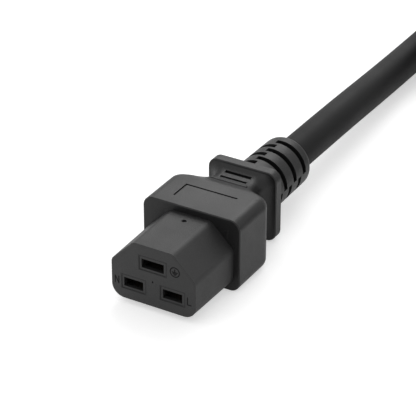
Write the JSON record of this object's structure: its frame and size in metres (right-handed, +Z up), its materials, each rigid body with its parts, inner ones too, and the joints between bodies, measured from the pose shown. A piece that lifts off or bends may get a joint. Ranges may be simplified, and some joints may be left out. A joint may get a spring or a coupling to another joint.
{
  "type": "power cord",
  "caption": "Black moulded power cord: bevelled connector nose with blade slots, waisted grip, slotted strain relief, cord tied in a hank, and a shrouded plug.",
  "frame": {"origin": "centre of the connector's box at its underside, where the hood rests on a table; the cord and plug left out", "axes": "+Y along the connector from its nose to its strain relief, the way the cord leaves; +X across, towards the line slot; +Z up"},
  "size_m": [0.1116, 0.3778, 0.0252],
  "materials": {
    "carrier": "fine matte",
    "grip": "fine matte",
    "jacket": "satin",
    "tie": "woven",
    "brass": "bright",
    "plating": "nickel plated",
    "line_core": "smooth",
    "neutral_core": "smooth",
    "earth_core": "smooth"
  },
  "bodies": {
    "root": {"connector_overmould": "grip", "contact_carrier": "carrier", "cord_hank": "jacket", "cord_run": "jacket", "cord_tail": "jacket", "earth_contact": "brass", "earth_pin": "plating", "earth_wire": "earth_core", "left_tie": "tie", "line_contact": "brass", "line_pin": "plating", "line_wire": "line_core", "neutral_contact": "brass", "neutral_pin": "plating", "neutral_wire": "neutral_core", "pin_carrier": "carrier", "plug_earth_wire": "earth_core", "plug_line_wire": "line_core", "plug_neutral_wire": "neutral_core", "plug_overmould": "grip", "right_tie": "tie"}
  },
  "joints": []
}
